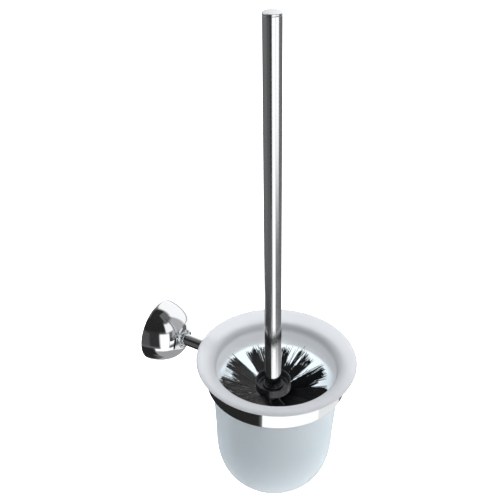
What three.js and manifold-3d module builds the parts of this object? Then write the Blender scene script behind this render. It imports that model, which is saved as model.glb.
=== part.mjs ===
// Wall-mounted toilet brush holder: a rosette and arm carry a ring, a glass cup hangs in the ring
// by its flared brim, and the brush stands in the cup.
// Millimetres, +Z up. The origin is the middle of the rosette's wall face, the wall is the plane
// y = 0, and the holder stands out along -Y.

import * as THREE from 'three';
import { mergeVertices } from 'three/addons/utils/BufferGeometryUtils.js';
import Module from 'manifold-3d';

const wasm = await Module();
wasm.setup();

// Driving dimensions
const reach = 104; // wall to the cup's axis
const rimHeight = 16.5; // the cup's rim above the arm's axis
const gap = 0.3; // between pieces that touch
const round = 48; // sides of a large turned piece
const fine = 24; // sides of a small one

// The rosette's outline is a blunt dome: radius = base * (1 - (s / depth) ^ rise) ^ (1 / bluntness)
const rosetteRadius = 24.2;
const rosetteDepth = 24;
const rosetteRise = 1.57;
const rosetteBluntness = 3.25;
const rosetteWall = 2.2;
const dishFloor = 21; // the sunk seat at the front of the dome
const dishRadius = 9;

const plateRadius = 19.5;
const plateThickness = 5.5;
const wallHoleSpacing = 24;
const wallHoleRadius = 2.4;
const grubRadius = 2;
const grubPlace = 3.4; // from the wall

const armRadius = 4.5;
const armBoreEnd = 34; // of the threaded hole for the arm's screw, from the wall
const armScrewEnd = 31.5;
const armScrewHead = 4.3;
const armScrewHeadHeight = 3.6;
const washerRadius = 6.5;
const washerThickness = 1.3;
const collarRadius = 5.5;
const collarLength = 1.9;
const ringScrewRadius = 1.9;
const ringScrewHead = 3.7;
const ringScrewLength = 8; // in the arm
const ringScrewBore = 10;

const ringOuter = 51;
const ringInner = 48.6;
const ringTop = -8.4; // below the rim
const ringBottom = -21.1;
const ringEdge = 0.5;
const ringBevelWidth = 1.3;
const ringBevelHeight = 1.7;

// The cup's wall is a slow taper down to a shoulder, then a rounded base: a superellipse
const brimRadius = 58.2;
const brimEdge = 1.9; // radius of the rounded edge
const neckRadius = 46.6;
const neckHeight = -22;
const taper = 0.053;
const shoulder = -65.3;
const baseDepth = 50.3;
const baseSquareness = 3;
const glassWall = 3.2;
const glassFloor = 3.9;
const footRadius = 20;

// The brush stands a little off the cup's axis and leans towards the wall
const handleRadius = 6;
const handleWall = 1;
const handleTop = 251.2; // above the rim
const handleFoot = -29;
const capThickness = 1.2;
const plugLength = 8;
const insertLength = 17;
const brushOffsetX = -1;
const brushOffsetY = 2.3;
const brushLean = THREE.MathUtils.degToRad(1.65);

const dripRadius = 13.1;
const dripTop = -22;
const dripLip = 0.9;
const dripFloor = -27.2;
const bossRadius = 7.4; // the socket round the handle's foot
const bossTop = -24.6;
const coreRadius = 8.5;
const coreEnd = -109.6;
const studRadius = 2.3;
const studInHandle = 15;
const studInSpindle = 19;
const spindleBore = 20;
const rowCount = 6;
const rowPitch = 12;
const firstRow = -33;
const tuftsPerRow = 11;
const tipTufts = 8;
const firstTuft = 118; // degrees from +X, in the top row
const rowTwist = -12; // degrees from each row to the one below it
const headClearance = 2.9; // from the bristle tips to the cup's wall
const tuftRise = 8.5; // from root to tip in the top row
const riseLoss = 1.4; // in each row further down
const tuftTip = { width: 9.6, height: 5 };
const tuftRoot = { width: 3.2, height: 3.6 };
const bandHalf = 2.6;
const bandDepth = 2.4;
const tipRoot = -102;
const tipEnd = -105.2;
const tipReach = 18;

const tubeSides = 40;

const finish = {
  chrome: { color: 0xd9dbde, roughness: 0.06, metalness: 1 },
  steel: { color: 0xb4b6b8, roughness: 0.3, metalness: 1 },
  zinc: { color: 0x9fa2a5, roughness: 0.45, metalness: 1 },
  glass: { color: 0xe3ebee, roughness: 0.55, metalness: 0 },
  glossPlastic: { color: 0x1b1c1f, roughness: 0.15, metalness: 0 },
  blackPlastic: { color: 0x17181a, roughness: 0.45, metalness: 0 },
  bristle: { color: 0x141519, roughness: 0.6, metalness: 0 },
};

// Geometry helpers

// Turns an outline of [radius, height] points about the Y axis. The outline runs up its outer side.
function turned(outline, sides = round) {
  const points = outline.map(([radius, height]) => new THREE.Vector2(radius, height));
  return new THREE.LatheGeometry(points, sides);
}

// Points on a quarter or other part of a circle, angles in degrees
function arc(centreR, centreH, radius, from, to, steps = 4) {
  const points = [];
  for (let i = 0; i <= steps; i++) {
    const angle = THREE.MathUtils.degToRad(from + ((to - from) * i) / steps);
    points.push([centreR + radius * Math.cos(angle), centreH + radius * Math.sin(angle)]);
  }
  return points;
}

// A smooth curve through a few [radius, height] points
function flowing(knots, steps) {
  const curve = new THREE.SplineCurve(knots.map(([radius, height]) => new THREE.Vector2(radius, height)));
  return curve.getPoints(steps).map((point) => [point.x, point.y]);
}

// A turned ring with a rectangular section and small bevels on its outer edges
function ringOutline(inner, outer, bottom, top, bevel) {
  return [
    [inner, bottom],
    [outer - bevel, bottom],
    [outer, bottom + bevel],
    [outer, top - bevel],
    [outer - bevel, top],
    [inner, top],
    [inner, bottom],
  ];
}

function toSolid(geometry) {
  const bare = geometry.clone();
  bare.deleteAttribute('normal');
  bare.deleteAttribute('uv');
  const merged = mergeVertices(bare, 1e-4);
  return new wasm.Manifold(
    new wasm.Mesh({
      numProp: 3,
      vertProperties: new Float32Array(merged.attributes.position.array),
      triVerts: new Uint32Array(merged.index.array),
    }),
  );
}

function toGeometry(solid) {
  const mesh = solid.getMesh();
  const geometry = new THREE.BufferGeometry();
  geometry.setAttribute('position', new THREE.BufferAttribute(mesh.vertProperties, 3));
  geometry.setIndex(new THREE.BufferAttribute(mesh.triVerts, 1));
  geometry.computeVertexNormals();
  return geometry;
}

function cut(geometry, ...cutters) {
  let solid = toSolid(geometry);
  for (const cutter of cutters) {
    solid = solid.subtract(toSolid(cutter));
  }
  return toGeometry(solid);
}

function join(geometry, ...others) {
  let solid = toSolid(geometry);
  for (const other of others) {
    solid = solid.add(toSolid(other));
  }
  return toGeometry(solid);
}

// A six-sided socket for a hex key, centred on the Y axis
function hexSocket(radius, bottom, top) {
  const socket = new THREE.CylinderGeometry(radius, radius, top - bottom, 6);
  return socket.translate(0, (bottom + top) / 2, 0);
}

function piece(name, look, geometry) {
  const mesh = new THREE.Mesh(geometry, new THREE.MeshStandardMaterial(finish[look]));
  mesh.name = name;
  return mesh;
}

// Wall end. Local Y is the distance from the wall.

function domeRadius(distance, radius, depth) {
  return radius * (1 - (distance / depth) ** rosetteRise) ** (1 / rosetteBluntness);
}

// Where the dome's outline comes in to a given radius
function domeDistance(atRadius, radius, depth) {
  return depth * (1 - (atRadius / radius) ** rosetteBluntness) ** (1 / rosetteRise);
}

function domeOutline(radius, depth, from, to, steps) {
  const points = [];
  for (let i = 0; i <= steps; i++) {
    const distance = from + (to - from) * Math.sin(((i / steps) * Math.PI) / 2);
    points.push([domeRadius(distance, radius, depth), distance]);
  }
  return points;
}

function wallPlate() {
  const disc = turned([
    [0, 0],
    [plateRadius, 0],
    [plateRadius, plateThickness - 1],
    [plateRadius - 1, plateThickness],
    [0, plateThickness],
  ]);
  const screwHole = turned(
    [
      [0, -1],
      [wallHoleRadius, -1],
      [wallHoleRadius, plateThickness - 2.2],
      [wallHoleRadius + 3.2, plateThickness + 1],
      [0, plateThickness + 1],
    ],
    fine,
  );
  const left = screwHole.clone().translate(-wallHoleSpacing / 2, 0, 0);
  const right = screwHole.clone().translate(wallHoleSpacing / 2, 0, 0);
  return cut(disc, left, right);
}

// A hollow dome with its front sunk to a flat seat, bored for the arm's screw and for the grub screw
function rosette() {
  const innerRadius = rosetteRadius - rosetteWall;
  const innerFront = dishFloor - rosetteWall;
  const innerDepth = innerFront + 2;
  const dishEdge = domeDistance(dishRadius, rosetteRadius, rosetteDepth);
  const outside = domeOutline(rosetteRadius, rosetteDepth, 0, dishEdge, 12);
  const inside = domeOutline(innerRadius, innerDepth, 0, innerFront, 6).reverse();
  const hole = studRadius + 0.6;
  const shell = turned([
    ...outside,
    [dishRadius - 0.6, dishEdge - 0.4],
    [dishRadius - 1.6, dishFloor],
    [hole, dishFloor],
    [hole, innerFront],
    ...inside,
    outside[0],
  ]);
  const grubHole = turned([[0, 18], [grubRadius + gap, 18], [grubRadius + gap, 28], [0, 28]], fine);
  grubHole.rotateX(Math.PI / 2).translate(0, grubPlace, 0);
  return cut(shell, grubHole);
}

// Its tip bears on the edge of the wall plate; the hex socket faces down and out
function grubScrew() {
  const tip = plateRadius + gap;
  const end = rosetteRadius - 1;
  const outline = [[0, tip], [grubRadius - 0.5, tip], [grubRadius, tip + 0.5], [grubRadius, end], [0, end]];
  return cut(turned(outline, fine), hexSocket(1.15, end - 1.8, end + 1));
}

function armScrew() {
  const under = dishFloor - rosetteWall - washerThickness - 2 * gap;
  const top = under - armScrewHeadHeight;
  const body = turned(
    [
      [0, top],
      [armScrewHead - 0.6, top],
      [armScrewHead, top + 0.6],
      [armScrewHead, under],
      [studRadius, under],
      [studRadius, armScrewEnd],
      [studRadius - 0.7, armScrewEnd + 0.7],
      [0, armScrewEnd + 0.7],
    ],
    fine,
  );
  return cut(body, hexSocket(2.3, top - 1, top + 2.4));
}

function armWasher() {
  const top = dishFloor - rosetteWall - gap;
  return turned(ringOutline(studRadius + 0.5, washerRadius, top - washerThickness, top, 0.2), fine);
}

function armCollar() {
  const bottom = dishFloor + gap;
  return turned(ringOutline(studRadius + 0.5, collarRadius, bottom, bottom + collarLength, 0.35), fine);
}

// A solid rod with a blind threaded hole in each end
function arm() {
  const start = dishFloor + collarLength + 2 * gap;
  const end = reach - ringOuter - gap;
  const screwHole = studRadius + gap;
  const ringHole = ringScrewRadius + gap;
  return turned(
    [
      [0, armBoreEnd],
      [screwHole, armBoreEnd],
      [screwHole, start],
      [armRadius - 0.3, start],
      [armRadius, start + 0.3],
      [armRadius, end - 0.3],
      [armRadius - 0.3, end],
      [ringHole, end],
      [ringHole, end - ringScrewBore],
      [0, end - ringScrewBore],
    ],
    fine,
  );
}

// A countersunk screw put in from the inside of the ring, its head flush with the ring's inner face
function ringScrewOutline(grow) {
  const head = reach - ringInner;
  const outer = reach - ringOuter;
  return [
    [0, outer - ringScrewLength],
    [ringScrewRadius + grow, outer - ringScrewLength],
    [ringScrewRadius + grow, outer + 0.2],
    [ringScrewHead + grow, head - 0.2],
    [ringScrewHead + grow, head + grow * 4],
    [0, head + grow * 4],
  ];
}

function ringScrew() {
  const head = reach - ringInner;
  return cut(turned(ringScrewOutline(0), fine), hexSocket(1.3, head - 1.2, head + 1));
}

// Cup end. Local Y is the height above the cup's rim.

// A flat band with rounded edges and a bevel inside its top edge for the glass to sit on
function ringBand() {
  const band = turned([
    ...arc(ringInner + ringEdge, ringBottom + ringEdge, ringEdge, 180, 270, 2),
    ...arc(ringOuter - ringEdge, ringBottom + ringEdge, ringEdge, 270, 360, 2),
    ...arc(ringOuter - ringEdge, ringTop - ringEdge, ringEdge, 0, 90, 2),
    [ringInner + ringBevelWidth, ringTop],
    [ringInner, ringTop - ringBevelHeight],
    [ringInner, ringBottom + ringEdge],
  ]);
  const screwHole = turned(ringScrewOutline(gap), fine);
  // from the wall's frame into the cup's: the hole runs level, at the arm's height
  screwHole.translate(0, -reach, 0).rotateX(Math.PI / 2).translate(0, -rimHeight, 0);
  return cut(band, screwHole);
}

// Radius of the cup's outer wall, or of the inner one when inset by the glass's thickness
function cupRadius(height, inset, depth) {
  if (height > shoulder) {
    return neckRadius - inset + taper * (height - neckHeight);
  }
  const shoulderRadius = neckRadius - inset + taper * (shoulder - neckHeight);
  const drop = (shoulder - height) / depth;
  return shoulderRadius * Math.max(1 - drop ** baseSquareness, 0) ** (1 / baseSquareness);
}

const innerBaseDepth = baseDepth - glassFloor;

// Points down one side of the cup's base, closer together where it turns under
function baseCurve(inset, depth, floorRadius, steps) {
  const shoulderRadius = cupRadius(shoulder, inset, depth);
  const points = [];
  for (let i = 0; i <= steps; i++) {
    const radius = floorRadius + (shoulderRadius - floorRadius) * Math.sin(((i / steps) * Math.PI) / 2);
    const drop = (1 - (radius / shoulderRadius) ** baseSquareness) ** (1 / baseSquareness);
    points.push([radius, shoulder - depth * drop]);
  }
  return points;
}

function glassCup() {
  const outerBase = baseCurve(0, baseDepth, footRadius, 8);
  const innerBase = baseCurve(glassWall, innerBaseDepth, footRadius - 2, 6).reverse();
  const outerNeck = [neckRadius, neckHeight];
  const innerNeck = [neckRadius - glassWall, neckHeight];
  const underside = flowing([outerNeck, [47.2, -14.5], [48.7, -9.6], [51.6, -5.9], [56.2, -3.7]], 8);
  const edge = arc(brimRadius - brimEdge, -brimEdge, brimEdge, -80, 85, 5);
  const mouth = flowing([[55, -0.05], [50, -1.7], [46.5, -3.8], [44.6, -6.6], [43.7, -13], innerNeck], 9);
  return turned([
    [0, outerBase[0][1]],
    ...outerBase,
    ...underside,
    ...edge,
    ...mouth,
    ...innerBase,
    [0, innerBase.at(-1)[1]],
  ]);
}

// Brush. Local Y runs along the handle, zero at the cup's rim.

function handleTube() {
  const top = handleTop - capThickness - gap;
  return turned(ringOutline(handleRadius - handleWall, handleRadius, handleFoot, top, 0.2), tubeSides);
}

function handleCap() {
  const flange = handleTop - capThickness;
  const plug = handleRadius - handleWall - gap;
  return turned([
    [0, flange - plugLength],
    [plug - 0.5, flange - plugLength],
    [plug, flange - plugLength + 0.5],
    [plug, flange],
    [handleRadius, flange],
    [handleRadius, handleTop - 0.4],
    [handleRadius - 0.4, handleTop],
    [0, handleTop],
  ], tubeSides);
}

function handleInsert() {
  const outer = handleRadius - handleWall - gap;
  return turned(ringOutline(studRadius + gap, outer, handleFoot, handleFoot + insertLength, 0.4), fine);
}

function headStud() {
  const bottom = handleFoot - studInSpindle;
  const top = handleFoot + studInHandle;
  return turned([
    [0, bottom],
    [studRadius - 0.6, bottom],
    [studRadius, bottom + 0.6],
    [studRadius, top],
    [0, top],
  ], fine);
}

// A dish round the foot of the handle, with a low socket for the tube in its middle
function dripCollar() {
  const bore = handleRadius + gap;
  const inner = dripRadius - dripLip;
  return turned([
    [bore, handleFoot],
    [dripRadius - 0.8, handleFoot],
    [dripRadius, handleFoot + 0.8],
    [dripRadius, dripTop - 0.4],
    [dripRadius - 0.4, dripTop],
    [inner, dripTop],
    [inner - 0.5, dripFloor],
    [bossRadius, dripFloor],
    [bossRadius, bossTop],
    [bore, bossTop],
    [bore, handleFoot],
  ], tubeSides);
}

// The spindle that the bristle rows are set on, with a threaded hole for the stud
function brushCore() {
  const top = handleFoot - gap;
  const hole = studRadius + gap;
  return turned([
    [0, coreEnd],
    [5, coreEnd],
    [coreRadius, coreEnd + 4],
    [coreRadius, top - 1],
    [coreRadius - 1, top],
    [hole, top],
    [hole, top - spindleBore],
    [0, top - spindleBore],
  ], fine);
}

// A tuft fans out from the spindle: a block that is wide and flat at its tip
function tuft(rootHeight, tipHeight, tipRadius, angle) {
  const rootRadius = coreRadius + 1.2;
  const block = new THREE.BoxGeometry(1, 1, 1);
  const position = block.attributes.position;
  for (let i = 0; i < position.count; i++) {
    const atTip = position.getX(i) > 0;
    const { width, height } = atTip ? tuftTip : tuftRoot;
    position.setX(i, atTip ? tipRadius : rootRadius);
    position.setY(i, (atTip ? tipHeight : rootHeight) + position.getY(i) * height);
    position.setZ(i, position.getZ(i) * width);
  }
  return block.rotateY(angle);
}

// Tufts set round the spindle in a band, so that a row is one body
function bristleRow(count, rootHeight, tipHeight, tipRadius, firstAngle) {
  const inner = coreRadius + gap;
  const outer = coreRadius + bandDepth;
  const band = turned(ringOutline(inner, outer, rootHeight - bandHalf, rootHeight + bandHalf, 0.3), fine);
  const tufts = [];
  for (let i = 0; i < count; i++) {
    const angle = THREE.MathUtils.degToRad(firstAngle + (360 * i) / count);
    tufts.push(tuft(rootHeight, tipHeight, tipRadius, angle));
  }
  return join(band, ...tufts);
}

// Assembly

const wallEnd = new THREE.Group();
wallEnd.rotation.x = Math.PI;
wallEnd.add(piece('wall_plate', 'zinc', wallPlate()));
wallEnd.add(piece('rosette', 'chrome', rosette()));
const grub = piece('rosette_grub_screw', 'steel', grubScrew());
grub.rotation.x = Math.PI / 2;
grub.position.y = grubPlace;
wallEnd.add(grub);
wallEnd.add(piece('arm_screw', 'steel', armScrew()));
wallEnd.add(piece('arm_washer', 'steel', armWasher()));
wallEnd.add(piece('arm_collar', 'chrome', armCollar()));
wallEnd.add(piece('arm', 'chrome', arm()));
wallEnd.add(piece('ring_screw', 'steel', ringScrew()));

const cupEnd = new THREE.Group();
cupEnd.position.set(0, -reach, rimHeight);
cupEnd.rotation.x = Math.PI / 2;
cupEnd.add(piece('ring_band', 'chrome', ringBand()));
cupEnd.add(piece('glass_cup', 'glass', glassCup()));

const brush = new THREE.Group();
brush.position.set(brushOffsetX, brushOffsetY - reach, rimHeight);
brush.rotation.x = Math.PI / 2 - brushLean;
brush.add(piece('handle_tube', 'chrome', handleTube()));
brush.add(piece('handle_cap', 'chrome', handleCap()));
brush.add(piece('handle_insert', 'steel', handleInsert()));
brush.add(piece('head_stud', 'steel', headStud()));
brush.add(piece('drip_collar', 'glossPlastic', dripCollar()));
brush.add(piece('brush_core', 'blackPlastic', brushCore()));

for (let row = 0; row < rowCount; row++) {
  const root = firstRow - row * rowPitch;
  const tip = root + tuftRise - row * riseLoss;
  const tipRadius = cupRadius(tip - 3, glassWall, innerBaseDepth) - headClearance;
  const shape = bristleRow(tuftsPerRow, root, tip, tipRadius, firstTuft + row * rowTwist);
  brush.add(piece(`bristle_row_${row + 1}`, 'bristle', shape));
}
brush.add(piece('bristle_tip', 'bristle', bristleRow(tipTufts, tipRoot, tipEnd, tipReach, firstTuft)));

const holder = new THREE.Group();
holder.add(wallEnd, cupEnd, brush);

export default holder;
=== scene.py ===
import math
import random

import bmesh
import bpy
from mathutils import Euler, Matrix, Quaternion, Vector


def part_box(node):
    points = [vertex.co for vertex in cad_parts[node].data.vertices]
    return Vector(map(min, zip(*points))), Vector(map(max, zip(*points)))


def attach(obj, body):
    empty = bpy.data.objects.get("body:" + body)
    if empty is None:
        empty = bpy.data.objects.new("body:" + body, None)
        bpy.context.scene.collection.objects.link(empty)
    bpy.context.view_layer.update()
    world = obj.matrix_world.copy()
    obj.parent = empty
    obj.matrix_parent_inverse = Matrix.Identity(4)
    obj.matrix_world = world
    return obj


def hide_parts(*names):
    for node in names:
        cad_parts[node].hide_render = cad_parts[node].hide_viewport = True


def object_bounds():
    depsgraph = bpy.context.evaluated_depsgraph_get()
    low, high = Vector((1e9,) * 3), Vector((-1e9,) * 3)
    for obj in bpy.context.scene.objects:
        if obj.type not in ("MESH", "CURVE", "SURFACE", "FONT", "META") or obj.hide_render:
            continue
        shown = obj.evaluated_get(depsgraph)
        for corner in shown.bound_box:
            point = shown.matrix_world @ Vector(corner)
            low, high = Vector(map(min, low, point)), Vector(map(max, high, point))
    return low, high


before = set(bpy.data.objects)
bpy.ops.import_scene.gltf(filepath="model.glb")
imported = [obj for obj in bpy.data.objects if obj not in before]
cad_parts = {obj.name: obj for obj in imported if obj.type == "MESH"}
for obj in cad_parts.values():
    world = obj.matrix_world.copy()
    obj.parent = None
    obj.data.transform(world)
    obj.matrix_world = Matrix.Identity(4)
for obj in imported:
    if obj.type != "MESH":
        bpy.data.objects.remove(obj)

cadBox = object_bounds()
mm = 0.001

# Where things are, from the frame's own boxes

ringLow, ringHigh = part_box("ring_band")
capLow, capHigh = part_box("handle_cap")
dripLow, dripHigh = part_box("drip_collar")

cupCentre = (ringLow + ringHigh) / 2
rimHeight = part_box("glass_cup")[1].z

# the brush leans: its axis runs from the middle of the drip collar to the middle of the cap
brushFoot = (dripLow + dripHigh) / 2
brushAxis = ((capLow + capHigh) / 2 - brushFoot).normalized()
brushAtRim = brushFoot + brushAxis * ((rimHeight - brushFoot.z) / brushAxis.z)

# each place has its Z along the turning axis: out from the wall, up from the rim, up the handle
wallPlace = Matrix.Rotation(math.radians(90), 4, "X")
cupPlace = Matrix.Translation((cupCentre.x, cupCentre.y, rimHeight))
brushPlace = Matrix.Translation(brushAtRim) @ Matrix.Rotation(-math.asin(brushAxis.y), 4, "X")
print("frame read")


# Camera

camera = {
    "place": (-0.4217, -0.3188, 0.4193),  # metres
    "heading": 29.42,  # degrees from +X
    "tilt": -33.31,
    "roll": 0.61,
    "lens": 61.34,  # millimetres
    "sensor": 36,
    "near": 0.01,
}

lens = bpy.data.cameras.new("camera")
lens.lens = camera["lens"]
lens.sensor_width = camera["sensor"]
lens.clip_start = camera["near"]
cameraObject = bpy.data.objects.new("camera", lens)
bpy.context.scene.collection.objects.link(cameraObject)
aim = Euler((math.radians(90 + camera["tilt"]), 0, math.radians(camera["heading"] - 90)))
turn = Quaternion((0, 0, 1), math.radians(camera["roll"]))
cameraObject.rotation_mode = "QUATERNION"
cameraObject.rotation_quaternion = aim.to_quaternion() @ turn
cameraObject.location = camera["place"]
bpy.context.scene.camera = cameraObject


# Material helpers

# a hex colour, such as #d9dbde, in linear light
def colour(hexValue):
    def linear(value):
        return value / 12.92 if value <= 0.04045 else ((value + 0.055) / 1.055) ** 2.4
    parts = [int(hexValue[i:i + 2], 16) / 255 for i in (1, 3, 5)]
    return tuple(linear(part) for part in parts) + (1,)


# adds a node with its settings, and sets or links its inputs
def addNode(tree, kind, inputs=None, **settings):
    node = tree.nodes.new(kind)
    for name, value in settings.items():
        setattr(node, name, value)
    for name, value in (inputs or {}).items():
        if isinstance(value, bpy.types.NodeSocket):
            tree.links.new(value, node.inputs[name])
        else:
            node.inputs[name].default_value = value
    return node


def newMaterial(name):
    material = bpy.data.materials.new(name)
    material.use_nodes = True
    tree = material.node_tree
    shader = tree.nodes["Principled BSDF"]
    place = addNode(tree, "ShaderNodeTexCoord").outputs["Object"]
    return material, tree, shader, place


# texture scale for a pattern whose features are size millimetres apart
def patternScale(size):
    return 1 / (size * mm)


# Polished chrome plate on brass: buffed to a mirror, so the eye sees the room in it,
# a little softened by wiping and by the slow waviness that a buffing wheel leaves

def polishedChrome(name, blur=0.035, smear=0.03):
    material, tree, shader, place = newMaterial(name)
    shader.inputs["Base Color"].default_value = colour("#dcdee0")
    shader.inputs["Metallic"].default_value = 1
    wipe = addNode(tree, "ShaderNodeTexNoise", {"Vector": place, "Scale": patternScale(14), "Detail": 5})
    roughness = addNode(tree, "ShaderNodeMapRange", {
        "Value": wipe.outputs["Fac"], "From Min": 0.35, "From Max": 0.75,
        "To Min": blur, "To Max": blur + smear})
    wave = addNode(tree, "ShaderNodeTexNoise", {"Vector": place, "Scale": patternScale(9), "Detail": 1})
    bump = addNode(tree, "ShaderNodeBump", {
        "Height": wave.outputs["Fac"], "Strength": 0.05, "Distance": 0.05 * mm})
    tree.links.new(roughness.outputs["Result"], shader.inputs["Roughness"])
    tree.links.new(bump.outputs["Normal"], shader.inputs["Normal"])
    return material


# Acid-etched soda glass: etched inside and out to a fine even grain, so the eye sees it glow and sees
# only a blur behind it. The neck and throat, round and just below the ring, are less clear and greyer:
# partly the etch, partly painted shade of the ring's shadow. The brim's darker grey tint is painted shade

etchAndShade = {
    "foot": {"height": -97, "colour": "#ecf4f9", "clear": 0.74},  # heights in millimetres from the rim
    "belly": {"height": -60, "colour": "#e5f0f6", "clear": 0.74},
    "shoulder": {"height": -25, "colour": "#eaf3f8", "clear": 0.74},
    # neck and throat: less clear and greyer, partly the etch and partly painted shade of the ring's shadow
    "neck": {"height": -23, "colour": "#eceff2", "clear": 0.25},
    "throat": {"height": -12.5, "colour": "#e9ecef", "clear": 0.25},
    # brim: a darker grey tint, painted shade
    "brim": {"height": -9, "colour": "#c6c9cd", "clear": 0.5},
}


def etchedGlass():
    material, tree, shader, place = newMaterial("etched glass")
    shader.inputs["IOR"].default_value = 1.5
    height = addNode(tree, "ShaderNodeSeparateXYZ", {"Vector": place}).outputs["Z"]
    zones = list(etchAndShade.values())
    tint = colour(zones[0]["colour"])
    clear = zones[0]["clear"]
    for lower, upper in zip(zones, zones[1:]):
        step = addNode(tree, "ShaderNodeMapRange", {
            "Value": height,
            "From Min": rimHeight + lower["height"] * mm,
            "From Max": rimHeight + upper["height"] * mm}).outputs["Result"]
        tint = addNode(tree, "ShaderNodeMix", {
            "Factor": step, "A": tint, "B": colour(upper["colour"])}, data_type="RGBA").outputs["Result"]
        clear = addNode(tree, "ShaderNodeMix", {
            "Factor": step, "A": clear, "B": upper["clear"]}, data_type="FLOAT").outputs["Result"]
    cloud = addNode(tree, "ShaderNodeTexNoise", {"Vector": place, "Scale": patternScale(18), "Detail": 4})
    roughness = addNode(tree, "ShaderNodeMapRange", {
        "Value": cloud.outputs["Fac"], "From Min": 0.3, "From Max": 0.7, "To Min": 0.55, "To Max": 0.66})
    # the etch is about 0.05 mm, drawn at 0.6 mm so that it shows
    grain = addNode(tree, "ShaderNodeTexNoise", {"Vector": place, "Scale": patternScale(0.6), "Detail": 2})
    bump = addNode(tree, "ShaderNodeBump", {
        "Height": grain.outputs["Fac"], "Strength": 0.15, "Distance": 0.02 * mm})
    tree.links.new(tint, shader.inputs["Base Color"])
    tree.links.new(clear, shader.inputs["Transmission Weight"])
    tree.links.new(roughness.outputs["Result"], shader.inputs["Roughness"])
    tree.links.new(bump.outputs["Normal"], shader.inputs["Normal"])
    return material


# Polypropylene moulding: gloss from a polished mould for the drip collar, satin from a blasted one for
# the spindle, so the eye sees a soft black shine with a faint orange-peel skin

def mouldedPlastic(name, hexValue, shine, dull):
    material, tree, shader, place = newMaterial(name)
    shader.inputs["IOR"].default_value = 1.49
    tone = addNode(tree, "ShaderNodeTexNoise", {"Vector": place, "Scale": patternScale(7), "Detail": 3})
    base = addNode(tree, "ShaderNodeMix", {
        "Factor": tone.outputs["Fac"], "A": colour(hexValue), "B": colour("#2a2c30")}, data_type="RGBA")
    roughness = addNode(tree, "ShaderNodeMapRange", {
        "Value": tone.outputs["Fac"], "From Min": 0.3, "From Max": 0.7, "To Min": shine, "To Max": dull})
    skin = addNode(tree, "ShaderNodeTexNoise", {"Vector": place, "Scale": patternScale(0.8), "Detail": 2})
    bump = addNode(tree, "ShaderNodeBump", {
        "Height": skin.outputs["Fac"], "Strength": 0.12, "Distance": 0.02 * mm})
    tree.links.new(base.outputs["Result"], shader.inputs["Base Color"])
    tree.links.new(roughness.outputs["Result"], shader.inputs["Roughness"])
    tree.links.new(bump.outputs["Normal"], shader.inputs["Normal"])
    return material


# Nylon bristle: drawn filament, black all through, so the eye sees a faint shine along it and no colour

def nylonBristle():
    material, tree, shader, place = newMaterial("nylon bristle")
    shader.inputs["IOR"].default_value = 1.53
    shader.inputs["Specular IOR Level"].default_value = 0.15
    shade = addNode(tree, "ShaderNodeTexNoise", {"Vector": place, "Scale": patternScale(2.5), "Detail": 2})
    base = addNode(tree, "ShaderNodeMix", {
        "Factor": shade.outputs["Fac"], "A": colour("#050608"), "B": colour("#131519")}, data_type="RGBA")
    roughness = addNode(tree, "ShaderNodeMapRange", {
        "Value": shade.outputs["Fac"], "From Min": 0.3, "From Max": 0.7, "To Min": 0.3, "To Max": 0.5})
    draw = addNode(tree, "ShaderNodeTexNoise", {"Vector": place, "Scale": patternScale(0.5), "Detail": 1})
    bump = addNode(tree, "ShaderNodeBump", {
        "Height": draw.outputs["Fac"], "Strength": 0.1, "Distance": 0.02 * mm})
    tree.links.new(base.outputs["Result"], shader.inputs["Base Color"])
    tree.links.new(roughness.outputs["Result"], shader.inputs["Roughness"])
    tree.links.new(bump.outputs["Normal"], shader.inputs["Normal"])
    return material


# Bare metals inside: die-cast zinc, whose skin looks dull and grainy, and zinc-plated steel, whose fine
# tool marks show through the plate

def bareMetal(name, hexValue, roughLow, roughHigh, grainSize, depth):
    material, tree, shader, place = newMaterial(name)
    shader.inputs["Base Color"].default_value = colour(hexValue)
    shader.inputs["Metallic"].default_value = 1
    grain = addNode(tree, "ShaderNodeTexNoise", {
        "Vector": place, "Scale": patternScale(grainSize), "Detail": 5})
    roughness = addNode(tree, "ShaderNodeMapRange", {
        "Value": grain.outputs["Fac"], "From Min": 0.3, "From Max": 0.7,
        "To Min": roughLow, "To Max": roughHigh})
    bump = addNode(tree, "ShaderNodeBump", {
        "Height": grain.outputs["Fac"], "Strength": 0.4, "Distance": depth * mm})
    tree.links.new(roughness.outputs["Result"], shader.inputs["Roughness"])
    tree.links.new(bump.outputs["Normal"], shader.inputs["Normal"])
    return material


chrome = polishedChrome("polished chrome")
handleChrome = polishedChrome("polished chrome tube", blur=0.12, smear=0.06)
glass = etchedGlass()
glossPlastic = mouldedPlastic("gloss black polypropylene", "#0d0e10", 0.12, 0.25)
satinPlastic = mouldedPlastic("satin black polypropylene", "#101114", 0.4, 0.55)
nylon = nylonBristle()
zinc = bareMetal("die-cast zinc", "#a9abad", 0.4, 0.6, 1.2, 0.05)
steel = bareMetal("zinc-plated steel", "#bcbec0", 0.22, 0.4, 0.8, 0.02)
print("materials made")


# Shape helpers

# an outline of (radius, height, fillet) corners with its corners rounded
def rounded(corners, closed=True, steps=5):
    outline = []
    count = len(corners)
    for i, (radius, height, fillet) in enumerate(corners):
        corner = Vector((radius, height))
        ends = not closed and i in (0, count - 1)
        if not fillet or ends:
            outline.append(corner)
            continue
        before = Vector(corners[i - 1][:2]) - corner
        after = Vector(corners[(i + 1) % count][:2]) - corner
        half = before.angle(after) / 2
        room = 0.45 * min(before.length, after.length)
        back = min(fillet / math.tan(half), room)
        before.normalize()
        after.normalize()
        start = corner + before * back
        end = corner + after * back
        guard = 1.2 * back  # a point just past the fillet keeps the flat beside it flat
        outline.append(corner + before * guard)
        for k in range(steps + 1):
            t = k / steps
            outline.append(start * (1 - t) ** 2 + corner * 2 * t * (1 - t) + end * t ** 2)
        outline.append(corner + after * guard)
    return [tuple(point) for point in outline]


def addObject(name, mesh, material):
    mesh.materials.append(material)
    piece = bpy.data.objects.new(name, mesh)
    bpy.context.scene.collection.objects.link(piece)
    return piece


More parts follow.
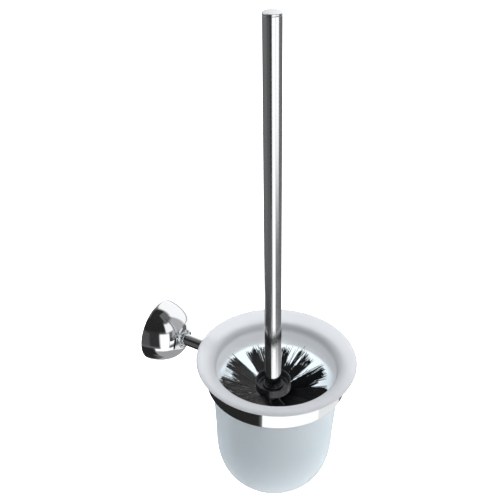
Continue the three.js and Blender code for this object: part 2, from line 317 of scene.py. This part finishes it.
# puts a mesh in the scene, riding on a body and standing for its CAD nodes
def addPiece(name, mesh, material, body, slotName, *nodes):
    piece = addObject(name, mesh, material)
    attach(piece, body)
    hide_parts(*nodes)
    return piece


# turns an outline of (radius, height) millimetres about the Z axis of a place
def spin(name, outline, place, sides=160, closed=True):
    shape = bmesh.new()
    rings = []
    for radius, height in outline:
        if radius < 1e-6:
            rings.append([shape.verts.new((0, 0, height * mm))])
            continue
        ring = []
        for k in range(sides):
            angle = 2 * math.pi * k / sides
            x = radius * mm * math.cos(angle)
            y = radius * mm * math.sin(angle)
            ring.append(shape.verts.new((x, y, height * mm)))
        rings.append(ring)
    following = rings[1:] + (rings[:1] if closed else [])
    for lower, upper in zip(rings, following):
        if len(lower) == 1 and len(upper) == 1:
            continue
        for k in range(sides):
            n = (k + 1) % sides
            if len(lower) == 1:
                shape.faces.new([lower[0], upper[n], upper[k]])
            elif len(upper) == 1:
                shape.faces.new([lower[k], lower[n], upper[0]])
            else:
                shape.faces.new([lower[k], lower[n], upper[n], upper[k]])
    return finishMesh(name, shape, place)


def toMesh(name, shape):
    mesh = bpy.data.meshes.new(name)
    shape.to_mesh(mesh)
    shape.free()
    return mesh


# a smooth-shaded mesh whose creases over sharp degrees stay crisp
def finishMesh(name, shape, place, sharp=35):
    bmesh.ops.recalc_face_normals(shape, faces=shape.faces)
    for face in shape.faces:
        face.smooth = True
    for edge in shape.edges:
        edge.smooth = edge.calc_face_angle(0) < math.radians(sharp)
    shape.transform(place)
    return toMesh(name, shape)


# Rosette: a blunt hollow dome with a sunk seat for the arm

rosette = {
    "radius": 24.2,
    "depth": 24,
    "rise": 1.57,
    "bluntness": 3.25,
    "wall": 2.2,
    "dishRadius": 7.6,
    "dishFloor": 21,
    "dishSlope": 1.8,
    "lip": [(-0.3, 0.05, 0), (-1.0, -0.1, 0.5)],  # from the dish's edge: radius, distance, fillet
    "hole": 2.9,
    "foot": 0.5,  # the turned-in edge at the wall
    "footEdge": 0.12,
    "tipRoom": 2,  # behind the dish, inside
    "steps": 36,
    "insideSteps": 12,
}


def domeRadius(distance, radius, depth):
    return radius * (1 - (distance / depth) ** rosette["rise"]) ** (1 / rosette["bluntness"])


def makeRosette():
    r = rosette
    edgeAt = r["depth"] * (1 - (r["dishRadius"] / r["radius"]) ** r["bluntness"]) ** (1 / r["rise"])
    inFront = r["dishFloor"] - r["wall"]
    outline = [(r["radius"] - r["foot"], 0), (r["radius"] - r["footEdge"], r["footEdge"])]
    for k in range(1, r["steps"] + 1):
        distance = edgeAt * math.sin(k / r["steps"] * math.pi / 2)
        outline.append((domeRadius(distance, r["radius"], r["depth"]), distance))
    # over a soft lip and down into the dish
    dish = [(r["dishRadius"] + aside, edgeAt + ahead, fillet) for aside, ahead, fillet in r["lip"]]
    dish += [(r["dishRadius"] - r["dishSlope"], r["dishFloor"], 0.6), (r["hole"], r["dishFloor"], 0.2),
             (r["hole"], inFront, 0)]
    outline += rounded(dish, closed=False)
    for k in range(r["insideSteps"] + 1):
        distance = inFront * math.cos(k / r["insideSteps"] * math.pi / 2)
        inside = domeRadius(distance, r["radius"] - r["wall"], inFront + r["tipRoom"])
        outline.append((inside, distance))
    mesh = spin("rosette", outline, wallPlace, sides=192)
    return addPiece("rosetteCover", mesh, chrome, "holder", "polished_chrome", "rosette")


makeRosette()


# Arm and its collar: turned bar

armSizes = {
    "radius": 4.5,
    "collarRadius": 5.5,
    "collarHole": 2.9,
    "edge": 0.35,
    "screwBore": 2.6,
    "screwBoreEnd": 34,
    "ringBore": 2.2,
    "ringBoreDepth": 10,
}


def makeArm():
    a = armSizes
    collarFar, collarNear = (-corner.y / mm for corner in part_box("arm_collar"))
    armFar, armNear = (-corner.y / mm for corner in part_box("arm"))
    boreEnd = a["screwBoreEnd"]
    ringBoreEnd = armFar - a["ringBoreDepth"]
    collar = rounded([
        (a["collarHole"], collarNear, 0.1), (a["collarRadius"], collarNear, a["edge"]),
        (a["collarRadius"], collarFar, a["edge"]), (a["collarHole"], collarFar, 0.1)])
    mesh = spin("arm collar", collar, wallPlace, sides=96)
    addPiece("armCollar", mesh, chrome, "holder", "polished_chrome", "arm_collar")
    bar = rounded([
        (0, boreEnd, 0), (a["screwBore"], boreEnd, 0.2), (a["screwBore"], armNear, 0.2),
        (a["radius"], armNear, a["edge"]), (a["radius"], armFar, a["edge"]),
        (a["ringBore"], armFar, 0.2), (a["ringBore"], ringBoreEnd, 0.2), (0, ringBoreEnd, 0)],
        closed=False)
    mesh = spin("arm", bar, wallPlace, sides=96, closed=False)
    addPiece("armBar", mesh, chrome, "holder", "polished_chrome", "arm")


makeArm()


# Ring: a flat chrome band, its top inner edge bevelled for the glass

ringSizes = {
    "wall": 2.4,
    "edge": 0.45,
    "bevelWidth": 1.275,
    "bevelHeight": 1.5,
}


def makeRing():
    s = ringSizes
    outer = (ringHigh.x - ringLow.x) / 2 / mm
    inner = outer - s["wall"]
    top = (ringHigh.z - rimHeight) / mm
    bottom = (ringLow.z - rimHeight) / mm
    band = rounded([
        (inner, bottom, s["edge"]), (outer, bottom, s["edge"]), (outer, top, s["edge"]),
        (inner + s["bevelWidth"], top, 0.2), (inner, top - s["bevelHeight"], 0.2)])
    mesh = spin("ring band", band, cupPlace, sides=256)
    addPiece("ringBand", mesh, chrome, "holder", "polished_chrome", "ring_band")


makeRing()
print("holder made")


# Cup: a pressed glass tumbler with a wide flared brim and a rounded base

cupSizes = {
    "brimRadius": 58.2,
    "brimEdge": 1.9,
    "neckRadius": 46.6,
    "neckHeight": -22,
    "taper": 0.053,
    "shoulder": -65.3,
    "baseDepth": 50.3,
    "squareness": 3,
    "wall": 3.2,
    "floor": 3.9,
    "footRadius": 20,
    "footInside": 18,
    "footRim": (15, 17),
    "footHollow": 0.5,
    "rimHollow": 0.1,
    "outsideSteps": 28,
    "insideSteps": 24,
    "underside": [(47.2, -14.5), (48.7, -9.6), (51.6, -5.9), (56.2, -3.7)],  # from the neck out
    "mouth": [(55, -0.1), (50.3, -1.9), (46.9, -4.2), (44.8, -7.2), (43.8, -13.4)],  # from the brim in
    "edgeFrom": -80,  # degrees round the brim's edge
    "edgeTo": 85,
    "edgeSteps": 12,
}


# a Catmull-Rom curve through a few (radius, height) points
def smoothThrough(knots, steps=6):
    points = [Vector(knot) for knot in knots]
    points = [points[0] * 2 - points[1]] + points + [points[-1] * 2 - points[-2]]
    curve = []
    for a, b, c, d in zip(points, points[1:], points[2:], points[3:]):
        for k in range(steps):
            t = k / steps
            curve.append(((b * 2) + (c - a) * t + (a * 2 - b * 5 + c * 4 - d) * t ** 2
                          + (b * 3 - a - c * 3 + d) * t ** 3) / 2)
    return [tuple(point) for point in curve] + [tuple(points[-2])]


# radius of the cup's straight side, inset by a wall
def sideRadius(inset, height):
    c = cupSizes
    return c["neckRadius"] - inset + c["taper"] * (height - c["neckHeight"])


# the cup's rounded base, from its foot up to the shoulder
def baseCurve(inset, depth, floorRadius, steps):
    c = cupSizes
    shoulderRadius = sideRadius(inset, c["shoulder"])
    curve = []
    for k in range(steps + 1):
        radius = floorRadius + (shoulderRadius - floorRadius) * math.sin(k / steps * math.pi / 2)
        drop = (1 - (radius / shoulderRadius) ** c["squareness"]) ** (1 / c["squareness"])
        curve.append((radius, c["shoulder"] - depth * drop))
    return curve


def makeCup():
    c = cupSizes
    outside = baseCurve(0, c["baseDepth"], c["footRadius"], c["outsideSteps"])
    inside = baseCurve(c["wall"], c["baseDepth"] - c["floor"], c["footInside"], c["insideSteps"])[::-1]
    foot = outside[0][1]
    floor = inside[-1][1]
    underside = smoothThrough([(c["neckRadius"], c["neckHeight"])] + c["underside"])
    mouth = smoothThrough(c["mouth"] + [(c["neckRadius"] - c["wall"], c["neckHeight"])])
    edge = []
    curl = c["brimEdge"]
    for k in range(c["edgeSteps"] + 1):
        angle = math.radians(c["edgeFrom"] + (c["edgeTo"] - c["edgeFrom"]) * k / c["edgeSteps"])
        edge.append((c["brimRadius"] - curl + curl * math.cos(angle), curl * math.sin(angle) - curl))
    hollow = foot + c["footHollow"]
    footEdge = [(0, hollow), (c["footRim"][0], hollow), (c["footRim"][1], foot + c["rimHollow"])]
    outline = footEdge + outside + underside + edge + mouth + inside + [(0, floor)]
    mesh = spin("glass cup", outline, cupPlace, sides=192, closed=False)
    addPiece("glassCup", mesh, glass, "cup", "frosted_glass", "glass_cup")


makeCup()
print("cup made")


# Handle: a chrome tube with a flush cap

handleSizes = {
    "radius": 6,
    "wall": 1,
    "top": 251.2,
    "foot": -29,
    "capHeight": 1.2,
    "edge": 0.5,
    "seam": 0.3,  # between the tube and its cap
    "plugLength": 8,
    "crown": 0.15,
}


def makeHandle():
    h = handleSizes
    inner = h["radius"] - h["wall"]
    flange = h["top"] - h["capHeight"]
    tubeTop = flange - h["seam"]
    tube = rounded([
        (inner, h["foot"], 0.1), (h["radius"], h["foot"], 0.3),
        (h["radius"], tubeTop, 0.12), (inner, tubeTop, 0.1)])
    mesh = spin("handle tube", tube, brushPlace, sides=128)
    addPiece("handleTube", mesh, handleChrome, "brush", "polished_chrome", "handle_tube")
    plug = inner - h["seam"]
    plugEnd = flange - h["plugLength"]
    cap = rounded([
        (0, plugEnd, 0), (plug, plugEnd, 0.5), (plug, flange, 0.1), (h["radius"], flange, 0.12),
        (h["radius"], h["top"], h["edge"]), (0, h["top"] + h["crown"], 0)], closed=False)
    mesh = spin("handle cap", cap, brushPlace, sides=128, closed=False)
    addPiece("handleCap", mesh, handleChrome, "brush", "polished_chrome", "handle_cap")


makeHandle()


# Drip collar: a dish round the handle's foot, with a low socket for the tube in its middle

collarSizes = {
    "radius": 13.1,
    "bore": 6.3,
    "top": -22,
    "bottom": -29,
    "lip": 0.9,
    "lipEdge": 0.42,
    "slope": 0.5,
    "floor": -27.2,
    "bossRadius": 7.4,
    "bossTop": -24.6,
}


def makeDripCollar():
    c = collarSizes
    inner = c["radius"] - c["lip"]
    dish = rounded([
        (c["bore"], c["bottom"], 0.2), (c["radius"], c["bottom"], 0.8),
        (c["radius"], c["top"], c["lipEdge"]), (inner, c["top"], c["lipEdge"]),
        (inner - c["slope"], c["floor"], 1), (c["bossRadius"], c["floor"], 0.5),
        (c["bossRadius"], c["bossTop"], 0.35), (c["bore"], c["bossTop"], 0.2)])
    mesh = spin("drip collar", dish, brushPlace, sides=128)
    addPiece("dripCollar", mesh, glossPlastic, "brush", "gloss_black_plastic", "drip_collar")


makeDripCollar()


# Spindle: the black moulding that the tufts are set in, with a groove between the rows

rows = {
    "count": 6,
    "pitch": 12,
    "first": -33,
    "rise": 8.5,  # how far a tuft's tip stands above its root
    "riseLoss": 1.4,  # less in each row further down
    "tufts": 11,
    "firstAngle": 118,
    "twist": -12,
    "jitter": 2,  # degrees
    "clearance": 2.9,
    "droop": 3,  # how far below a row's tips its reach is measured
    "overreach": 0.5,
    "deepest": -108.6,  # of any bristle, clear of the cup's floor
}

spindle = {
    "radius": 8.5,
    "end": -109.6,
    "endRadius": 5,
    "endHeight": 4,
    "groove": 0.8,
    "land": 1.8,  # how far the band that holds a row stands out
    "landHalf": 2.7,
    "landFoot": 3.4,
    "bore": 2.6,
    "boreDepth": 20,
    "gap": 0.3,  # under the drip collar
}


def makeSpindle():
    p = spindle
    top = collarSizes["bottom"] - p["gap"]
    boreEnd = top - p["boreDepth"]
    groove = p["radius"] - p["groove"]
    land = p["radius"] + p["land"]
    corners = [(0, p["end"], 0), (p["endRadius"], p["end"], 1),
               (p["radius"], p["end"] + p["endHeight"], 1)]
    for k in reversed(range(rows["count"])):
        height = rows["first"] - k * rows["pitch"]
        corners += [(groove, height - p["landFoot"], 0.3), (land, height - p["landHalf"], 0.6),
                    (land, height + p["landHalf"], 0.6), (groove, height + p["landFoot"], 0.3)]
    corners += [(p["bore"], top, 0.2), (p["bore"], boreEnd, 0), (0, boreEnd, 0)]
    outline = rounded(corners, closed=False, steps=3)
    mesh = spin("brush spindle", outline, brushPlace, sides=72, closed=False)
    addPiece("brushSpindle", mesh, satinPlastic, "brush", "black_plastic", "brush_core")


makeSpindle()


# Bristles: each tuft is a bundle of filaments punched into the spindle, fanned out and worn uneven

bristles = {
    "perTuft": 130,
    "perLowerTuft": 80,
    "fullRows": 2,
    "clumps": 9,
    "thickness": 0.45,  # millimetres, drawn a little coarse so that single filaments show
    "taper": 0.35,
    "hole": 1.6,
    "fan": 5.7,  # half width of a tuft at its tip
    "fanHeight": 3,
    "uneven": 4,
    "sway": 1.2,  # how far a whole tuft may lean to one side
    "strays": 0.12,  # the share of filaments that stand well out of their clump
    "strayBy": 3,
    "clumpSpread": 0.4,
    "asideSpread": 0.16,
    "riseSpread": 0.3,
    "lengthSpread": 0.7,
    "tipSpread": (0.4, 0.4, 0.5),
    "bendAt": 0.55,
    "sag": 0.8,
    "bendAside": 0.7,
    "wander": 0.3,
    "seed": 11,
    "tipSeed": 61,
}

tipTufts = {
    "count": 8,
    "root": -102,
    "tip": -105.2,
    "reach": 18.5,
    "perTuft": 40,
}


# radius of the cup's inner wall at a height below the rim
def cupInside(height):
    c = cupSizes
    if height > c["shoulder"]:
        return sideRadius(c["wall"], height)
    drop = min((c["shoulder"] - height) / (c["baseDepth"] - c["floor"]), 1)
    return sideRadius(c["wall"], c["shoulder"]) * (1 - drop ** c["squareness"]) ** (1 / c["squareness"])


# a thin tapered thread along a bent path, in millimetres
def addFilament(shape, start, middle, end, radius, steps=4, sides=3):
    rings = []
    side = (end - start).cross(Vector((0, 0, 1))).normalized()
    lift = side.cross(end - start).normalized()
    for k in range(steps + 1):
        t = k / steps
        centre = start * (1 - t) ** 2 + middle * 2 * t * (1 - t) + end * t ** 2
        width = radius * (1 - bristles["taper"] * t)
        ring = []
        for n in range(sides):
            angle = 2 * math.pi * n / sides
            offset = side * math.cos(angle) * width + lift * math.sin(angle) * width
            ring.append(shape.verts.new((centre + offset) * mm))
        rings.append(ring)
    for lower, upper in zip(rings, rings[1:]):
        for n in range(sides):
            m = (n + 1) % sides
            shape.faces.new([lower[n], lower[m], upper[m], upper[n]])
    shape.faces.new(rings[0][::-1])
    shape.faces.new(rings[-1])


# filaments that share a hole in the spindle and spread in clumps towards their tips
def addTuft(shape, chance, angle, rootHeight, tipHeight, tipRadius, count):
    b = bristles
    out = Vector((math.cos(angle), math.sin(angle), 0))
    across = Vector((-out.y, out.x, 0))
    up = Vector((0, 0, 1))
    sway = chance.uniform(-b["sway"], b["sway"])
    clumps = []
    for i in range(b["clumps"]):
        aside = 2 * (i + chance.random()) / b["clumps"] - 1
        rise = chance.uniform(-1, 1)
        short = abs(chance.gauss(0, b["clumpSpread"])) * b["uneven"]
        clumps.append((aside, rise, short, chance.gauss(0, 1)))
    for i in range(count):
        aside, rise, short, bend = chance.choice(clumps)
        stray = b["strayBy"] if chance.random() < b["strays"] else 1
        aside += chance.gauss(0, b["asideSpread"]) * stray
        rise += chance.gauss(0, b["riseSpread"]) * stray
        start = out * spindle["radius"] + across * aside * b["hole"]
        start += up * (rootHeight + rise * b["hole"])
        length = tipRadius - short - abs(chance.gauss(0, b["lengthSpread"]))
        tip = out * length + across * (aside * b["fan"] + sway) + up * (tipHeight + rise * b["fanHeight"])
        tip += Vector([chance.gauss(0, spread) for spread in b["tipSpread"]])
        tip.z = max(tip.z, rows["deepest"])
        flat = Vector((tip.x, tip.y, 0))
        limit = min(tipRadius, cupInside(tip.z) - rows["clearance"])
        if flat.length > limit:
            flat.length = limit
            tip = flat + up * tip.z
        drift = bend * b["bendAside"] + chance.gauss(0, b["wander"])
        middle = start.lerp(tip, b["bendAt"]) + up * (bend - b["sag"]) + across * drift
        addFilament(shape, start, middle, tip, b["thickness"] / 2)


def makeBristleRow(row):
    r = rows
    chance = random.Random(bristles["seed"] + row)
    rootHeight = r["first"] - row * r["pitch"]
    tipHeight = rootHeight + r["rise"] - row * r["riseLoss"]
    tipRadius = cupInside(tipHeight - r["droop"]) - r["clearance"] + r["overreach"]
    count = bristles["perTuft"] if row < bristles["fullRows"] else bristles["perLowerTuft"]
    shape = bmesh.new()
    for i in range(r["tufts"]):
        angle = r["firstAngle"] + row * r["twist"] + 360 * i / r["tufts"]
        angle += chance.uniform(-r["jitter"], r["jitter"])
        addTuft(shape, chance, math.radians(angle), rootHeight, tipHeight, tipRadius, count)
    mesh = finishMesh("bristle row", shape, brushPlace, sharp=70)
    addPiece(f"bristleRow{row + 1}", mesh, nylon, "brush", "bristle_nylon", f"bristle_row_{row + 1}")


def makeBristleTip():
    t = tipTufts
    chance = random.Random(bristles["tipSeed"])
    shape = bmesh.new()
    for i in range(t["count"]):
        angle = math.radians(rows["firstAngle"] + 360 / t["count"] * i)
        addTuft(shape, chance, angle, t["root"], t["tip"], t["reach"], t["perTuft"])
    mesh = finishMesh("bristle tip", shape, brushPlace, sharp=70)
    addPiece("bristleTip", mesh, nylon, "brush", "bristle_nylon", "bristle_tip")


for row in range(rows["count"]):
    makeBristleRow(row)
makeBristleTip()
print("brush made")


# Hidden hardware keeps its frame shape and takes its own finish

hidden = {
    "rosette_grub_screw": steel,
    "arm_screw": steel,
    "arm_washer": steel,
    "ring_screw": steel,
    "head_stud": steel,
    "handle_insert": steel,
    "wall_plate": zinc,
}
for node, metal in hidden.items():
    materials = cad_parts[node].data.materials
    materials.clear()
    materials.append(metal)


# Studio: a white floor well below, even soft light, and a room of soft cards that only the gloss picks up

studio = {
    "floorDrop": 0.3,  # metres
    "floorSize": 30,
    "floorColour": "#fbfbfb",
    "floorGlow": 1.0,  # keeps the floor an even white behind the object
    "background": 1.0,
    "softLight": 1.4,
    "roomLight": 0.12,
    "cardLight": 1.38,  # scales every card, as chrome returns only part of what it mirrors
}

# soft lights for everything but mirror reflections: azimuth and elevation, and how much each adds
lobes = [
    {"at": (5, -30), "light": 1.2},  # from behind, up through the glass
    {"at": (170, -25), "light": -0.55},  # the dim side
    {"at": (320, 50), "light": 0.4},  # from above, into the mouth
]

# what stands round the room, painted in turn: middle and half width in degrees of azimuth and elevation
cards = [
    {"at": (302, -70), "half": (120, 21), "soft": 5, "light": 0.32},  # floor on the right
    {"at": (120, -53), "half": (63, 16), "soft": 3, "light": 0.018},  # dark floor on the left
    {"at": (104, -72), "half": (50, 7), "soft": 5, "light": 0.018},
    {"at": (262, -44), "half": (75, 6), "soft": 1.2, "light": 1.0},  # bright floor edge
    {"at": (311, -44), "half": (27, 6), "soft": 1.2, "light": 0.76},
    {"at": (90, 15), "half": (65, 25), "soft": 12, "light": 0.35},  # wall behind
    {"at": (100, 25), "half": (18, 22), "soft": 6, "light": 0.9},
    {"at": (165, 55), "half": (38, 40), "soft": 8, "light": 0.018},  # dark camera side
    {"at": (162, -6), "half": (19, 25), "soft": 10, "light": 0.075},
    {"at": (190, 0), "half": (13, 30), "soft": 4, "light": 0.03},
    {"at": (184, 60), "half": (44, 32), "soft": 6, "light": 0.018},
    {"at": (292, 27), "half": (34, 33), "soft": 6, "light": 0.38},  # grey screen
    {"at": (248, 42), "half": (18, 17), "soft": 4, "light": 0.9},  # window
    {"at": (224, -14), "half": (19, 36), "soft": 4, "light": 1.05},  # strip light
    {"at": (266, -18), "half": (22, 9), "soft": 5, "light": 1.0},
    {"at": (355, 27), "half": (36, 35), "soft": 6, "light": 0.93},  # big white screen
    {"at": (62, 30), "half": (22, 20), "soft": 10, "light": 0.6},
    {"at": (359, -25), "half": (72, 15), "soft": 4, "light": 0.12},  # dark wall foot behind
    {"at": (120, 80), "half": (120, 14), "soft": 4, "light": 0.02},  # dark ceiling
]


def makeWorld():
    world = bpy.data.worlds.new("studio")
    world.use_nodes = True
    bpy.context.scene.world = world
    tree = world.node_tree
    tree.nodes.clear()

    def maths(operation, *values):
        return addNode(tree, "ShaderNodeMath", dict(enumerate(values)), operation=operation).outputs[0]

    def blend(factor, a, b):
        inputs = {"Factor": factor, "A": a, "B": b}
        return addNode(tree, "ShaderNodeMix", inputs, data_type="FLOAT").outputs["Result"]

    direction = addNode(tree, "ShaderNodeTexCoord").outputs["Generated"]
    parts = addNode(tree, "ShaderNodeSeparateXYZ", {"Vector": direction}).outputs
    azimuth = maths("DEGREES", maths("ARCTAN2", parts["Y"], parts["X"]))
    elevation = maths("DEGREES", maths("ARCSINE", parts["Z"]))
    room = studio["roomLight"] * studio["cardLight"]
    for card in cards:
        aside = maths("ABSOLUTE", maths("WRAP", maths("SUBTRACT", azimuth, card["at"][0]), -180, 180))
        above = maths("ABSOLUTE", maths("SUBTRACT", elevation, card["at"][1]))
        cover = 1
        for value, half in ((aside, card["half"][0]), (above, card["half"][1])):
            inside = addNode(tree, "ShaderNodeMapRange", {
                "Value": value, "From Min": half + card["soft"], "From Max": half - card["soft"]},
                interpolation_type="SMOOTHSTEP").outputs["Result"]
            cover = maths("MULTIPLY", inside, cover)
        room = blend(cover, room, card["light"] * studio["cardLight"])
    ray = addNode(tree, "ShaderNodeLightPath").outputs
    mirrored = maths("MULTIPLY", ray["Is Glossy Ray"], maths("SUBTRACT", 1, ray["Is Transmission Ray"]))
    soft = studio["softLight"]
    for lobe in lobes:
        turn, tilt = (math.radians(angle) for angle in lobe["at"])
        toward = (math.cos(turn) * math.cos(tilt), math.sin(turn) * math.cos(tilt), math.sin(tilt))
        facing = addNode(tree, "ShaderNodeVectorMath", {0: direction, 1: toward}, operation="DOT_PRODUCT")
        soft = maths("MULTIPLY_ADD", maths("MAXIMUM", facing.outputs["Value"], 0), lobe["light"], soft)
    light = blend(mirrored, soft, room)
    light = blend(ray["Is Camera Ray"], light, studio["background"])
    background = addNode(tree, "ShaderNodeBackground", {"Color": (1, 1, 1, 1), "Strength": light})
    addNode(tree, "ShaderNodeOutputWorld", {"Surface": background.outputs[0]})


def hide(piece, *rays):
    for ray in rays:
        setattr(piece, "visible_" + ray, False)


def makeFloor():
    level = cadBox[0].z - studio["floorDrop"]
    shape = bmesh.new()
    bmesh.ops.create_grid(shape, x_segments=1, y_segments=1, size=studio["floorSize"])
    shape.transform(Matrix.Translation((0, 0, level)))
    material, tree, shader, place = newMaterial("painted floor")
    shader.inputs["Base Color"].default_value = colour(studio["floorColour"])
    shader.inputs["Roughness"].default_value = 0.9
    shader.inputs["Emission Color"].default_value = (1, 1, 1, 1)
    shader.inputs["Emission Strength"].default_value = studio["floorGlow"]
    floor = addObject("floor", toMesh("floor", shape), material)
    hide(floor, "glossy", "diffuse", "transmission", "shadow")


# a small white board beside the rosette, low enough that the handle does not mirror it
board = {
    "x": 120,  # millimetres
    "y": (-108, 70),
    "z": (-90, -12),
    "light": 0.93,
}


def makeBoard():
    shape = bmesh.new()
    (near, far), (low, high) = board["y"], board["z"]
    corners = [(board["x"], y, z) for y, z in ((near, low), (far, low), (far, high), (near, high))]
    shape.faces.new([shape.verts.new(Vector(corner) * mm) for corner in corners])
    material, tree, shader, place = newMaterial("white foam board")
    shader.inputs["Base Color"].default_value = colour("#000000")
    shader.inputs["Emission Color"].default_value = (1, 1, 1, 1)
    shader.inputs["Emission Strength"].default_value = board["light"] * studio["cardLight"]
    piece = addObject("board", toMesh("board", shape), material)
    hide(piece, "camera", "diffuse", "transmission", "shadow")


makeWorld()
makeFloor()
makeBoard()

# the handle's foot mirrors the room only, not the cup and the bristles round it
for name in ["glassCup", "bristleTip"] + [f"bristleRow{row + 1}" for row in range(rows["count"])]:
    hide(bpy.data.objects[name], "glossy")

bpy.context.scene.view_settings.view_transform = "Standard"
cycles = bpy.context.scene.cycles
cycles.max_bounces = 32
cycles.diffuse_bounces = 16
cycles.transmission_bounces = 24
cycles.glossy_bounces = 8
print("studio made")
